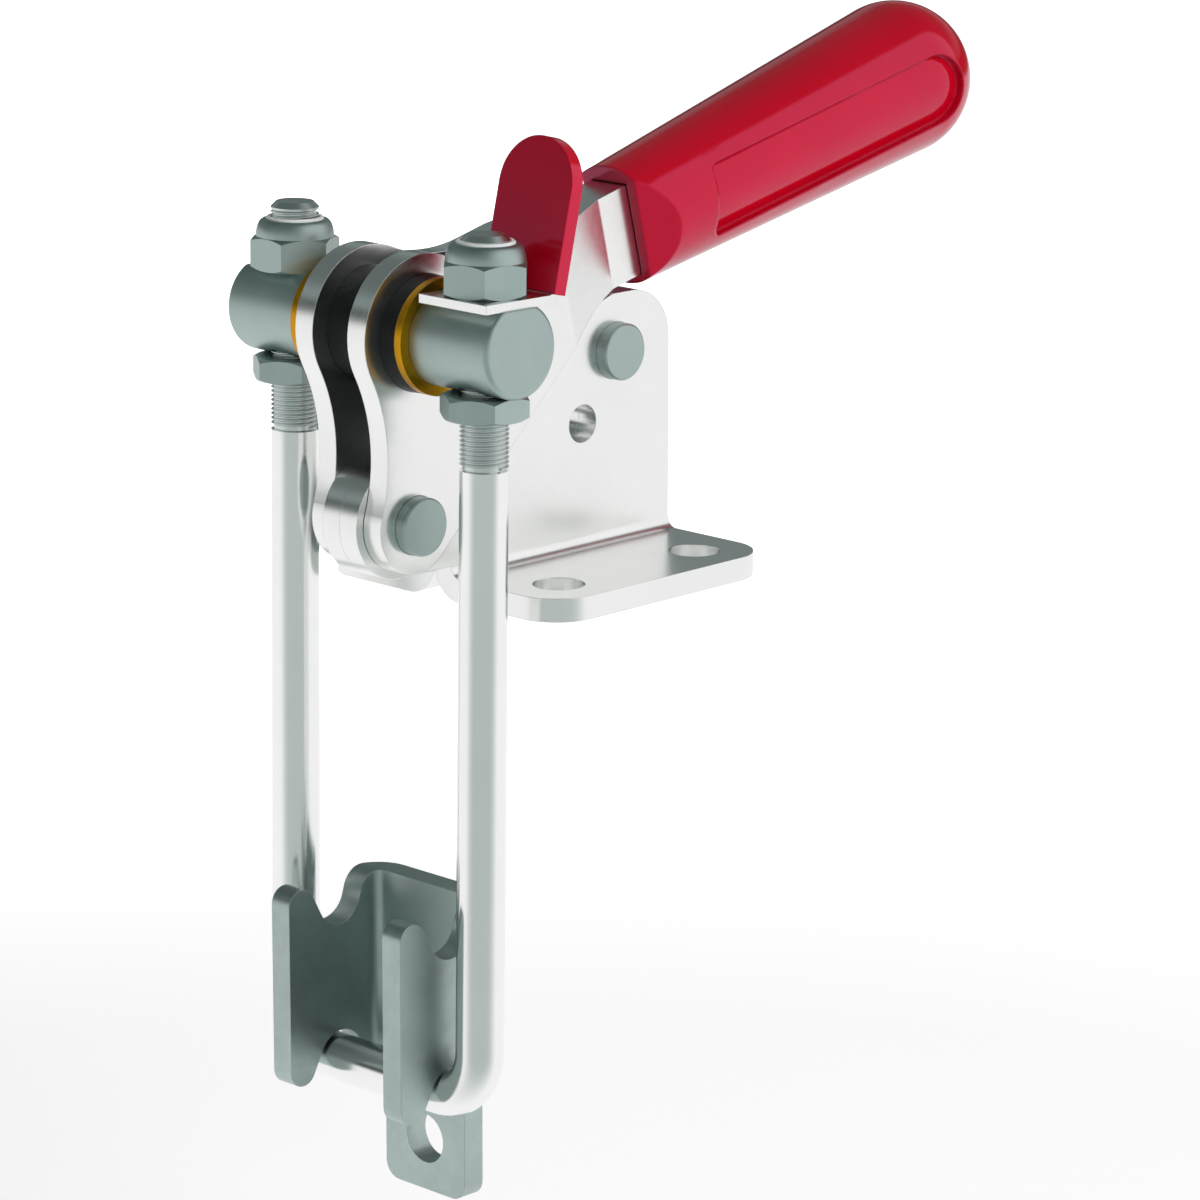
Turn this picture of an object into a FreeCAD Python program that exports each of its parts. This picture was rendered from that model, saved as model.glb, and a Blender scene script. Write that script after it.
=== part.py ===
import FreeCAD, Part
import math
import os
import Sketcher

# Toggle clamp of the pull-action latch kind. The origin is the centre of the four
# mounting holes on the underside of the base. X runs along the pins, +Y goes to the
# rear, where the grip points, and +Z is up. All sizes are in millimetres and degrees.

# Driving sizes
SIZES = {
    # sheet metal of the base and the handle
    "plate_thickness": 4.0,
    "plate_bend_radius": 2.0,
    "side_clearance": 0.1,
    "running_clearance": 0.05,
    "fixed_clearance": 0.02,
    # base
    "base_half_width": 28.4,
    "base_length": 52.0,
    "base_corner_radius": 8.0,
    "web_height": 46.5,
    "web_corner_radius": 9.0,
    "hole_spacing_across": 38.6,
    "hole_spacing_along": 32.6,
    "base_hole_radius": 4.35,
    "web_hole_radius": 3.25,
    "web_hole_along": 4.95,
    "web_hole_height": 25.3,
    "web_slope_angle": 18.25,
    "handle_gap": 0.8,
    # pins
    "pivot_along": -37.7,
    "pivot_height": 15.6,
    "pivot_radius": 4.85,
    "pivot_half_length": 10.3,
    "rivet_along": 13.0,
    "rivet_height": 36.7,
    "rivet_radius": 4.85,
    "rivet_half_length": 6.3,
    "pin_edge": 0.3,
    # handle plates, measured along and above the handle's own tilted axis
    "handle_angle": 14.0,
    "trunnion_along": -23.59,
    "trunnion_above": 54.42,
    "bar_top": 58.97,
    "bar_bottom": 42.95,
    "neck_angle": 29.8,
    "waist_radius": 30.0,
    "trunnion_boss_radius": 12.9,
    "pivot_boss_radius": 8.1,
    "jog_start": 8.75,
    "jog_end": 23.5,
    "tang_end": 95.0,
    "tang_corner_radius": 4.0,
    # grip
    "grip_mouth": 30.4,
    "grip_centre": 51.3,
    "grip_mouth_radius": 10.6,
    "grip_taper_angle": 2.52,
    "grip_end": 117.4,
    "grip_flat_half_width": 6.1,
    "grip_chamfer_angle": 45.0,
    "grip_fit": 0.2,
    "panel_start": 43.2,
    "panel_end": 107.3,
    "panel_width": 12.5,
    "panel_depth": 1.7,
    "panel_corner_radius": 1.8,
    "panel_slant_angle": 11.0,
    # trunnion, its bushings and the tube that holds them
    "sleeve_radius": 9.6,
    "sleeve_half_length": 11.4,
    "bushing_wall": 0.8,
    "bushing_flange_radius": 9.6,
    "bushing_flange_thickness": 1.5,
    "bushing_length": 9.0,
    "trunnion_radius": 7.85,
    "trunnion_overhang": 8.25,
    "trunnion_edge": 1.0,
    "trunnion_flat_height": 6.65,
    "trunnion_flat_start": 14.2,
    # threaded u-bolt, measured from the trunnion's axis
    "rod_radius": 4.0,
    "rod_hole_gap": 0.3,
    "leg_spacing": 44.5,
    "stud_rise": 17.85,
    "rod_drop": 127.1,
    "rod_bend_radius": 9.0,
    "rod_lean_angle": 0.84,
    "rod_end_chamfer": 0.9,
    # nuts
    "nut_across_flats": 13.0,
    "nut_hex_height": 5.5,
    "nut_total_height": 8.3,
    "nut_collar_radius": 6.7,
    "nut_dome_radius": 1.6,
    "nut_edge": 0.6,
    "insert_outer_radius": 4.95,
    "insert_height": 1.8,
    "insert_lip": 0.2,
    "jam_nut_height": 3.9,
    "jam_nut_gap": 0.05,
    "left_locknut_angle": 0.0,
    "right_locknut_angle": 14.0,
    "left_jam_nut_angle": 26.0,
    "right_jam_nut_angle": 28.0,
    # thumb lever of the right leg
    "lever_thickness": 1.5,
    "lever_width": 15.2,
    "lever_front": 7.3,
    "lever_rear": 6.6,
    "lever_bend_radius": 1.5,
    "lever_lean_angle": 12.5,
    "lever_rise": 22.9,
    "coating_start": -1.15,
    "coating_thickness": 0.5,
    # latch plate, measured from the U-bolt's cross bar, which lies in its lower notches
    "latch_thickness": 4.25,
    "latch_half_width": 15.47,
    "latch_height": 34.6,
    "latch_finger_reach": 11.3,
    "latch_back_reach": 13.2,
    "latch_bend_radius": 2.0,
    "notch_gap": 0.7,
    "notch_inset": 3.2,
    "notch_set_back": 0.2,
    "finger_tip_radius": 2.8,
    "shoulder_radius": 4.5,
    "shoulder_reach": 9.4,
    "tab_half_width": 9.55,
    "tab_drop": 20.1,
    "tab_corner_radius": 3.0,
    "tab_hole_radius": 4.35,
    "tab_hole_drop": 10.9,
}

RIGHT = 1
LEFT = -1
SIDES = {"right": RIGHT, "left": LEFT}
AXIS_X = FreeCAD.Vector(1, 0, 0)
AXIS_Z = FreeCAD.Vector(0, 0, 1)
ORIGIN = FreeCAD.Vector(0, 0, 0)
HALF_TURN = 180.0
RIGHT_ANGLE = 90.0
HEX_SIDES = 6
NEARLY_PARALLEL = 0.99
NEARLY_LEVEL = 0.01

doc = FreeCAD.newDocument("toggle_clamp")
sheet = doc.addObject("Spreadsheet::Sheet", "dims")
for row, (alias, value) in enumerate(SIZES.items(), start=1):
    sheet.set(f"A{row}", alias)
    sheet.set(f"B{row}", str(value))
    sheet.setAlias(f"B{row}", alias)
doc.recompute()


def size(alias):
    """The value of one named size in the sheet."""
    return float(sheet.get(alias))


# Points and outlines


def point(across, up):
    return FreeCAD.Vector(across, up, 0)


def polar(centre, radius, degrees):
    """The point at a radius and a direction from a centre."""
    turn = math.radians(degrees)
    return point(centre.x + radius * math.cos(turn), centre.y + radius * math.sin(turn))


def to_base(along, above):
    """A point of the handle's tilted frame, in the base's own Y and Z."""
    tilt = math.radians(size("handle_angle"))
    return point(
        along * math.cos(tilt) - above * math.sin(tilt),
        along * math.sin(tilt) + above * math.cos(tilt),
    )


def arc(centre, start, end):
    """The shorter arc about a centre from one point to another."""
    middle = (start - centre).normalize() + (end - centre).normalize()
    middle = centre + middle.normalize() * start.distanceToPoint(centre)
    return Part.Arc(start, middle, end)


def turned_arc(centre, radius, first, last):
    """The arc about a centre between two directions, in degrees, first to last."""
    return Part.Arc(
        polar(centre, radius, first),
        polar(centre, radius, (first + last) / 2),
        polar(centre, radius, last),
    )


def line(start, end):
    return Part.LineSegment(start, end)


def rounded(corners):
    """A closed outline through corners (across, up, radius), with each corner rounded."""
    edges = []
    first = None
    last = None
    count = len(corners)
    for index, (across, up, radius) in enumerate(corners):
        here = point(across, up)
        before = point(*corners[index - 1][:2])
        after = point(*corners[(index + 1) % count][:2])
        into = (before - here).normalize()
        out = (after - here).normalize()
        half = into.getAngle(out) / 2
        reach = radius / math.tan(half)
        start = here + into * reach
        end = here + out * reach
        if last is not None:
            edges.append(line(last, start))
        if radius > 0:
            inward = (into + out).normalize()
            edges.append(arc(here + inward * (radius / math.sin(half)), start, end))
        first = start if first is None else first
        last = end
    edges.append(line(last, first))
    return edges


def middle_of_two(first, first_radius, second, second_radius, left_side):
    """The centre of a circle through two known distances from two centres."""
    span = second - first
    gap = span.Length
    along = (gap**2 + first_radius**2 - second_radius**2) / (2 * gap)
    aside = math.sqrt(first_radius**2 - along**2)
    side = point(-span.y, span.x).normalize() * (aside if left_side else -aside)
    return first + span.normalize() * along + side


# Features


def new_body(name, tilt=None, lift=None):
    """A body with its label. Tilt names the size that turns it about the X axis."""
    body = doc.addObject("PartDesign::Body", name)
    body.Label = name
    if tilt:
        body.Placement = FreeCAD.Placement(ORIGIN, FreeCAD.Rotation(AXIS_X, size_of(tilt)))
        body.setExpression("Placement.Rotation.Angle", tilt)
    if lift:
        body.setExpression("Placement.Base.y", lift[0])
        body.setExpression("Placement.Base.z", lift[1])
    return body


def size_of(expression):
    """The present value of an expression in the sheet's names."""
    return float(sheet.evalExpression(expression.replace("dims.", "")))


def new_sketch(body, name, role, offset=None):
    """A sketch on one of the body's own planes, lifted by an expression if one is given."""
    plane = next(item for item in body.Origin.OriginFeatures if item.Role == role)
    sketch = body.newObject("Sketcher::SketchObject", f"{body.Name}_{name}")
    sketch.AttachmentSupport = [(plane, "")]
    sketch.MapMode = "FlatFace"
    if offset:
        sketch.setExpression("AttachmentOffset.Base.z", offset)
    return sketch


def draw(sketch, edges):
    """Adds a closed outline and ties the end of each edge to the start of the next."""
    first = sketch.GeometryCount
    sketch.addGeometry(edges, False)
    count = len(edges)
    for index in range(count):
        end = edges[index].EndPoint
        following = edges[(index + 1) % count]
        end_tag = 2 if ends_forward(sketch, first + index, end) else 1
        following_tag = 1
        if not ends_forward(sketch, first + (index + 1) % count, following.EndPoint):
            following_tag = 2
        sketch.addConstraint(
            Sketcher.Constraint(
                "Coincident", first + index, end_tag, first + (index + 1) % count, following_tag
            )
        )


def ends_forward(sketch, index, end):
    """True where the sketch keeps the edge's own direction: it turns arcs anticlockwise."""
    return sketch.getPoint(index, 2).distanceToPoint(end) < sketch.getPoint(index, 1).distanceToPoint(end)


def bind_point(sketch, index, tag, across, up):
    """Places a point of the sketch by two expressions."""
    spot = sketch.getPoint(index, tag)
    for kind, value, expression in (("DistanceX", spot.x, across), ("DistanceY", spot.y, up)):
        number = sketch.addConstraint(Sketcher.Constraint(kind, -1, 1, index, tag, value))
        sketch.setExpression(f"Constraints[{number}]", expression)


def draw_circle(sketch, across, up, radius):
    """A circle whose centre and radius are expressions."""
    centre = point(size_of(across), size_of(up))
    index = sketch.addGeometry(Part.Circle(centre, AXIS_Z, size_of(radius)), False)
    bind_point(sketch, index, 3, across, up)
    number = sketch.addConstraint(Sketcher.Constraint("Radius", index, size_of(radius)))
    sketch.setExpression(f"Constraints[{number}]", radius)


def draw_box(sketch, left, right, bottom, top):
    """A rectangle whose four sides are expressions."""
    west, east, south, north = (size_of(side) for side in (left, right, bottom, top))
    corners = [(west, south), (east, south), (east, north), (west, north)]
    edges = [
        line(point(*corners[index]), point(*corners[(index + 1) % len(corners)]))
        for index in range(len(corners))
    ]
    first = sketch.GeometryCount
    draw(sketch, edges)
    for index in range(len(edges)):
        kind = "Vertical" if index % 2 else "Horizontal"
        sketch.addConstraint(Sketcher.Constraint(kind, first + index))
    bind_point(sketch, first, 1, left, bottom)
    bind_point(sketch, first + 2, 1, right, top)


def pad(body, sketch, length, both_ways=False, backwards=False):
    """Thickens a sketch by an expression."""
    made = body.newObject("PartDesign::Pad", f"{sketch.Name}_pad")
    made.Profile = sketch
    made.setExpression("Length", length)
    made.Midplane = both_ways
    made.Reversed = backwards
    doc.recompute()
    return made


def cut_through(body, sketch):
    """Cuts a sketch right through the body, both ways."""
    before = body.Shape.Volume
    made = body.newObject("PartDesign::Pocket", f"{sketch.Name}_cut")
    made.Profile = sketch
    made.Type = "ThroughAll"
    made.Midplane = True
    doc.recompute()
    if not body.Shape.Volume < before:
        raise RuntimeError(f"{made.Name} cuts nothing")
    return made


def cut_to(body, sketch, depth, backwards=False, both_ways=False):
    """Cuts a sketch into the body by an expression."""
    before = body.Shape.Volume
    made = body.newObject("PartDesign::Pocket", f"{sketch.Name}_cut")
    made.Profile = sketch
    made.setExpression("Length", depth)
    made.Midplane = both_ways
    made.Reversed = backwards
    doc.recompute()
    if not body.Shape.Volume < before:
        raise RuntimeError(f"{made.Name} cuts nothing")
    return made


def revolve(body, sketch, axis):
    """Turns a sketch about one of its own axes, H_Axis or V_Axis."""
    made = body.newObject("PartDesign::Revolution", f"{sketch.Name}_turned")
    made.Profile = sketch
    made.ReferenceAxis = (sketch, [axis])
    made.Angle = 2 * HALF_TURN
    doc.recompute()
    return made


def edges_where(feature, test):
    """The names of a feature's edges whose middle point passes a test."""
    names = []
    for index, edge in enumerate(feature.Shape.Edges, start=1):
        middle = edge.valueAt((edge.FirstParameter + edge.LastParameter) / 2)
        if test(edge, middle):
            names.append(f"Edge{index}")
    return names


def dress(body, kind, feature, names, path, expression):
    """A fillet or a chamfer on named edges, with its size as an expression."""
    made = body.newObject(f"PartDesign::{kind}", f"{feature.Name}_{kind.lower()}")
    made.Base = (feature, names)
    made.setExpression(path, expression)
    doc.recompute()
    return made


# Base plates


def web_outline():
    """The web's side view: lug round the pivot, sloping front edge, rounded rear corner."""
    pivot = point(size("pivot_along"), size("pivot_height"))
    foot = size("plate_thickness") + size("plate_bend_radius")
    lug_radius = size("pivot_height") - foot
    rear = size("base_length") / 2
    top = size("web_height")
    corner = size("web_corner_radius")
    neck_direction = size("neck_angle") + size("handle_angle")
    neck_centre = to_base(neck_arc_centre().x, neck_arc_centre().y)
    reach = size("waist_radius") - size("handle_gap")
    neck_end = polar(neck_centre, reach, neck_direction + RIGHT_ANGLE)
    shelf = point(neck_centre.x - math.sqrt(reach**2 - (top - neck_centre.y) ** 2), top)
    lug_end = polar(pivot, lug_radius, size("web_slope_angle") + RIGHT_ANGLE)
    slope = math.tan(math.radians(size("web_slope_angle")))
    steep = math.tan(math.radians(neck_direction))
    meet_along = (
        lug_end.y - neck_end.y + steep * neck_end.x - slope * lug_end.x
    ) / (steep - slope)
    meet = point(meet_along, lug_end.y + slope * (meet_along - lug_end.x))
    lug_bottom = point(pivot.x, foot)
    return [
        line(lug_bottom, point(rear, foot)),
        line(point(rear, foot), point(rear, top - corner)),
        arc(point(rear - corner, top - corner), point(rear, top - corner), point(rear - corner, top)),
        line(point(rear - corner, top), shelf),
        arc(neck_centre, shelf, neck_end),
        line(neck_end, meet),
        line(meet, lug_end),
        turned_arc(pivot, lug_radius, size("web_slope_angle") + RIGHT_ANGLE, 3 * RIGHT_ANGLE),
    ]


def neck_arc_centre():
    """Centre of the hollow under the handle, where its neck meets the straight bar."""
    neck = math.radians(size("neck_angle"))
    boss = point(size_of(PIVOT_ALONG), size_of(PIVOT_ABOVE))
    waist = size("waist_radius")
    tangent = polar(boss, size("pivot_boss_radius"), size("neck_angle") - RIGHT_ANGLE)
    crossing = tangent.x + (size("bar_bottom") - tangent.y) / math.tan(neck)
    return point(crossing + waist * math.tan(neck / 2), size("bar_bottom") - waist)


PIVOT_ALONG = (
    "dims.pivot_along * cos(dims.handle_angle * 1deg) + dims.pivot_height * sin(dims.handle_angle * 1deg)"
)
PIVOT_ABOVE = (
    "dims.pivot_height * cos(dims.handle_angle * 1deg) - dims.pivot_along * sin(dims.handle_angle * 1deg)"
)


def base_plate(side_name):
    """One bent plate of the base: mounting flange, bend and upright web, back to back."""
    side = SIDES[side_name]
    body = new_body(f"base_plate_{side_name}")
    thickness = size("plate_thickness")
    inner = size("plate_bend_radius")
    foot = thickness + inner
    width = size("base_half_width")
    section = new_sketch(body, "section", "XZ_Plane")
    bend_centre = point(side * foot, foot)
    draw(section, [
        line(point(side * width, 0), point(side * width, thickness)),
        line(point(side * width, thickness), point(side * foot, thickness)),
        arc(bend_centre, point(side * foot, thickness), point(side * thickness, foot)),
        line(point(side * thickness, foot), point(0, foot)),
        arc(bend_centre, point(0, foot), point(side * foot, 0)),
        line(point(side * foot, 0), point(side * width, 0)),
    ])
    flange = pad(body, section, "dims.base_length", both_ways=True)
    corners = edges_where(flange, lambda edge, middle: is_flange_corner(edge, middle, width))
    dress(body, "Fillet", flange, corners, "Radius", "dims.base_corner_radius")
    web = new_sketch(body, "web", "YZ_Plane")
    draw(web, web_outline())
    pad(body, web, "dims.plate_thickness", backwards=side == LEFT)
    holes = new_sketch(body, "flange_holes", "XY_Plane")
    sign = "" if side == RIGHT else "-"
    for end in ("", "-"):
        draw_circle(
            holes,
            f"{sign}dims.hole_spacing_across / 2",
            f"{end}dims.hole_spacing_along / 2",
            "dims.base_hole_radius",
        )
    cut_through(body, holes)
    bores = new_sketch(body, "web_holes", "YZ_Plane")
    draw_circle(
        bores, "dims.pivot_along", "dims.pivot_height", "dims.pivot_radius + dims.fixed_clearance"
    )
    draw_circle(
        bores, "dims.rivet_along", "dims.rivet_height", "dims.rivet_radius + dims.fixed_clearance"
    )
    draw_circle(bores, "dims.web_hole_along", "dims.web_hole_height", "dims.web_hole_radius")
    cut_through(body, bores)
    return body


def is_flange_corner(edge, middle, width):
    """True for an upright edge at the flange's outer side."""
    upright = abs(edge.tangentAt(edge.FirstParameter).z) > NEARLY_PARALLEL
    return upright and abs(abs(middle.x) - width) < NEARLY_LEVEL


# Pins


def pin(name, along, height, radius, half_length):
    """A turned pin across the clamp, with a small broken edge at both ends."""
    body = new_body(name)
    sketch = new_sketch(body, "end", "YZ_Plane")
    draw_circle(sketch, along, height, radius)
    shank = pad(body, sketch, f"2 * {half_length}", both_ways=True)
    rims = edges_where(shank, lambda edge, middle: edge.Closed)
    dress(body, "Chamfer", shank, rims, "Size", "dims.pin_edge")
    return body


# Handle plates


def handle_outline():
    """Side view of a handle plate: two bosses, hollow front and top, neck, bar and tang."""
    pivot = point(size_of(PIVOT_ALONG), size_of(PIVOT_ABOVE))
    trunnion = point(size("trunnion_along"), size("trunnion_above"))
    small = size("pivot_boss_radius")
    large = size("trunnion_boss_radius")
    waist = size("waist_radius")
    top = size("bar_top")
    bottom = size("bar_bottom")
    end = size("tang_end")
    corner = size("tang_corner_radius")
    front = middle_of_two(pivot, small + waist, trunnion, large + waist, True)
    rise = top + waist - trunnion.y
    crown = point(trunnion.x + math.sqrt((large + waist) ** 2 - rise**2), top + waist)
    neck = neck_arc_centre()
    front_low = pivot + (front - pivot).normalize() * small
    front_high = trunnion + (front - trunnion).normalize() * large
    crown_start = trunnion + (crown - trunnion).normalize() * large
    neck_start = polar(pivot, small, size("neck_angle") - RIGHT_ANGLE)
    neck_end = polar(neck, waist, size("neck_angle") + RIGHT_ANGLE)
    boss_first = math.degrees(math.atan2(front_high.y - trunnion.y, front_high.x - trunnion.x))
    boss_last = math.degrees(math.atan2(crown_start.y - trunnion.y, crown_start.x - trunnion.x))
    boss_first += 2 * HALF_TURN if boss_first < boss_last else 0
    heel_first = math.degrees(math.atan2(front_low.y - pivot.y, front_low.x - pivot.x))
    heel_last = size("neck_angle") + 3 * RIGHT_ANGLE
    heel_first += 2 * HALF_TURN if heel_first < 0 else 0
    return [
        arc(front, front_low, front_high),
        turned_arc(trunnion, large, boss_first, boss_last),
        arc(crown, crown_start, point(crown.x, top)),
        line(point(crown.x, top), point(end - corner, top)),
        arc(point(end - corner, top - corner), point(end - corner, top), point(end, top - corner)),
        line(point(end, top - corner), point(end, bottom + corner)),
        arc(
            point(end - corner, bottom + corner),
            point(end, bottom + corner),
            point(end - corner, bottom),
        ),
        line(point(end - corner, bottom), point(neck.x, bottom)),
        arc(neck, point(neck.x, bottom), neck_end),
        line(neck_end, neck_start),
        turned_arc(pivot, small, heel_last, heel_first),
    ]


def handle_band(side):
    """Top view of the same plate: flat beside the base, jogged in to meet its twin."""
    thickness = size("plate_thickness")
    inner_face = thickness + size("side_clearance")
    outer_face = inner_face + thickness
    jog_start = size("jog_start")
    jog_end = size("jog_end")
    slope = math.atan((outer_face - thickness) / (jog_end - jog_start))
    set_back = thickness * math.tan(slope / 2)
    tight = size("plate_bend_radius")
    wide = tight + thickness
    front = size("trunnion_along") - 2 * size("trunnion_boss_radius")
    rear = size("tang_end") + thickness
    return rounded([
        (side * inner_face, front, 0),
        (side * outer_face, front, 0),
        (side * outer_face, jog_start, wide),
        (side * thickness, jog_end, tight),
        (side * thickness, rear, 0),
        (0, rear, 0),
        (0, jog_end - set_back, wide),
        (side * inner_face, jog_start - set_back, tight),
    ])


def handle_plate(side_name):
    """One plate of the handle, blanked to its outline and jogged by a press."""
    body = new_body(f"handle_plate_{side_name}", tilt="dims.handle_angle")
    band = new_sketch(body, "band", "XY_Plane")
    draw(band, handle_band(SIDES[side_name]))
    pad(body, band, "dims.trunnion_above + 2 * dims.trunnion_boss_radius")
    blank = new_sketch(body, "blank", "YZ_Plane")
    draw_box(
        blank,
        "dims.trunnion_along - 3 * dims.trunnion_boss_radius",
        "dims.tang_end + 2 * dims.plate_thickness",
        "-dims.trunnion_boss_radius",
        "dims.trunnion_above + 3 * dims.trunnion_boss_radius",
    )
    draw(blank, handle_outline())
    cut_through(body, blank)
    bores = new_sketch(body, "bores", "YZ_Plane")
    draw_circle(bores, PIVOT_ALONG, PIVOT_ABOVE, "dims.pivot_radius + dims.running_clearance")
    draw_circle(
        bores,
        "dims.trunnion_along",
        "dims.trunnion_above",
        "dims.sleeve_radius + dims.fixed_clearance",
    )
    cut_through(body, bores)
    return body


# Grip


def grip_ball():
    """Centre and radius of the ball end that meets the grip's taper smoothly."""
    taper = math.radians(size("grip_taper_angle"))
    straight = size("grip_end") - size("grip_mouth")
    root = size("grip_mouth_radius") * math.cos(taper)
    offset = (straight - root) / (1 + math.sin(taper))
    return point(size("grip_mouth") + offset, 0), root + offset * math.sin(taper)


def grip_half_section(start, depth):
    """Half of the grip's long section from a place along its axis, taken in by a depth."""
    taper = size("grip_taper_angle")
    ball, ball_radius = grip_ball()
    inner_radius = ball_radius - depth
    shoulder = polar(ball, inner_radius, RIGHT_ANGLE + taper)
    root = shoulder.y - (shoulder.x - start) * math.tan(math.radians(taper))
    tip = polar(ball, inner_radius, 0)
    return [
        line(point(start, 0), point(start, root)),
        line(point(start, root), shoulder),
        turned_arc(ball, inner_radius, RIGHT_ANGLE + taper, 0),
        line(tip, point(start, 0)),
    ]


def turn_grip(body, name, start, depth):
    """Turns a half section about the grip's own axis."""
    half_section = new_sketch(body, name, "YZ_Plane")
    half_section.setExpression("AttachmentOffset.Base.y", "dims.grip_centre")
    draw(half_section, grip_half_section(start, depth))
    return revolve(body, half_section, "H_Axis")


def handle_grip():
    """The moulded grip: tapered and ball-ended, with side panels and a slot for the tang."""
    body = new_body("handle_grip", tilt="dims.handle_angle")
    turn_grip(body, "outside", size("grip_mouth"), 0)
    corners = new_sketch(body, "mouth_corners", "XY_Plane")
    for side in SIDES.values():
        draw(corners, mouth_corner(side))
    cut_through(body, corners)
    for side_name, side in SIDES.items():
        sign = "" if side == RIGHT else "-"
        panel = new_sketch(body, f"panel_{side_name}", "YZ_Plane", f"{sign}dims.plate_thickness")
        draw(panel, panel_outline())
        cut_to(body, panel, "2 * dims.grip_mouth_radius", backwards=side == RIGHT)
    turn_grip(body, "panel_floor", size("panel_start"), size("panel_depth"))
    slot = new_sketch(body, "slot", "XZ_Plane", offset="-dims.grip_mouth")
    half_gap = "(dims.plate_thickness + dims.grip_fit)"
    draw_box(
        slot,
        f"-{half_gap}",
        half_gap,
        "dims.bar_bottom - dims.grip_fit",
        "dims.bar_top + dims.grip_fit",
    )
    cut_to(body, slot, "dims.tang_end + dims.grip_fit - dims.grip_mouth")
    return body


def mouth_corner(side):
    """The wedge that is cut off each side of the grip's mouth."""
    flat = size("grip_flat_half_width")
    mouth = size("grip_mouth")
    reach = size("grip_mouth_radius")
    rise = math.tan(math.radians(size("grip_chamfer_angle")))
    return rounded([
        (side * (flat - reach), mouth - reach * rise, 0),
        (side * (flat + reach), mouth - reach * rise, 0),
        (side * (flat + reach), mouth + reach * rise, 0),
    ])


def panel_outline():
    """A long panel in the grip's side view, with a slanted front end and a round rear end."""
    middle = size("grip_centre")
    half = size("panel_width") / 2
    centre = point(size("panel_end") - half, middle)
    slant = size("panel_width") * math.tan(math.radians(size("panel_slant_angle")))
    corner = size("panel_corner_radius")
    edges = rounded([
        (centre.x, middle + half, 0),
        (size("panel_start") + slant, middle + half, corner),
        (size("panel_start"), middle - half, corner),
        (centre.x, middle - half, 0),
    ])
    edges[-1] = turned_arc(centre, half, -RIGHT_ANGLE, RIGHT_ANGLE)
    return edges


# Trunnion, bushings and tube

TRUNNION_Y = (
    "dims.trunnion_along * cos(dims.handle_angle * 1deg)"
    " - dims.trunnion_above * sin(dims.handle_angle * 1deg)"
)
TRUNNION_Z = (
    "dims.trunnion_along * sin(dims.handle_angle * 1deg)"
    " + dims.trunnion_above * cos(dims.handle_angle * 1deg)"
)
TRUNNION_END = "(dims.leg_spacing / 2 + dims.trunnion_overhang)"


def pivot_sleeve():
    """The black tube that joins both handle plates and holds the bushings."""
    body = new_body("pivot_sleeve")
    ring = new_sketch(body, "ring", "YZ_Plane")
    draw_circle(ring, TRUNNION_Y, TRUNNION_Z, "dims.sleeve_radius")
    draw_circle(
        ring,
        TRUNNION_Y,
        TRUNNION_Z,
        "dims.trunnion_radius + 2 * dims.running_clearance + dims.bushing_wall",
    )
    pad(body, ring, "2 * dims.sleeve_half_length", both_ways=True)
    return body


def bushing(side_name):
    """A flanged bushing, pushed into one end of the tube."""
    side = SIDES[side_name]
    body = new_body(f"bushing_{side_name}", lift=(TRUNNION_Y, TRUNNION_Z))
    half_section = new_sketch(body, "half_section", "XZ_Plane")
    bore = size("trunnion_radius") + size("running_clearance")
    barrel = bore + size("bushing_wall")
    face = size("sleeve_half_length")
    flange = face + size("bushing_flange_thickness")
    tip = face - size("bushing_length")
    rim = size("bushing_flange_radius")
    draw(half_section, rounded([
        (side * tip, bore, 0),
        (side * flange, bore, 0),
        (side * flange, rim, 0),
        (side * (face + size("fixed_clearance")), rim, 0),
        (side * (face + size("fixed_clearance")), barrel, 0),
        (side * tip, barrel, 0),
    ]))
    revolve(body, half_section, "H_Axis")
    return body


def hung_body(name):
    """A body in the leaning frame of the U-bolt, with its origin on the trunnion's axis."""
    return new_body(name, tilt="-dims.rod_lean_angle", lift=(TRUNNION_Y, TRUNNION_Z))


def trunnion_bar():
    """The turned cross bar with milled flats and a cross hole for each leg."""
    body = hung_body("trunnion_bar")
    end = new_sketch(body, "end", "YZ_Plane")
    draw_circle(end, "0", "0", "dims.trunnion_radius")
    bar = pad(body, end, f"2 * {TRUNNION_END}", both_ways=True)
    rims = edges_where(bar, lambda edge, middle: edge.Closed)
    dress(body, "Fillet", bar, rims, "Radius", "dims.trunnion_edge")
    for side_name, side in SIDES.items():
        flat = new_sketch(body, f"flat_{side_name}", "XZ_Plane")
        near = "dims.trunnion_flat_start"
        far = f"({TRUNNION_END} + dims.trunnion_edge)"
        left, right = (near, far) if side == RIGHT else (f"-{far}", f"-{near}")
        draw_box(
            flat, left, right, "dims.trunnion_flat_height", "2 * dims.trunnion_radius"
        )
        cut_through(body, flat)
    legs = new_sketch(body, "leg_holes", "XY_Plane")
    for sign in ("", "-"):
        draw_circle(
            legs, f"{sign}dims.leg_spacing / 2", "0", "dims.rod_radius + dims.rod_hole_gap"
        )
    cut_through(body, legs)
    return body


# Threaded U-bolt and its nuts


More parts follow.
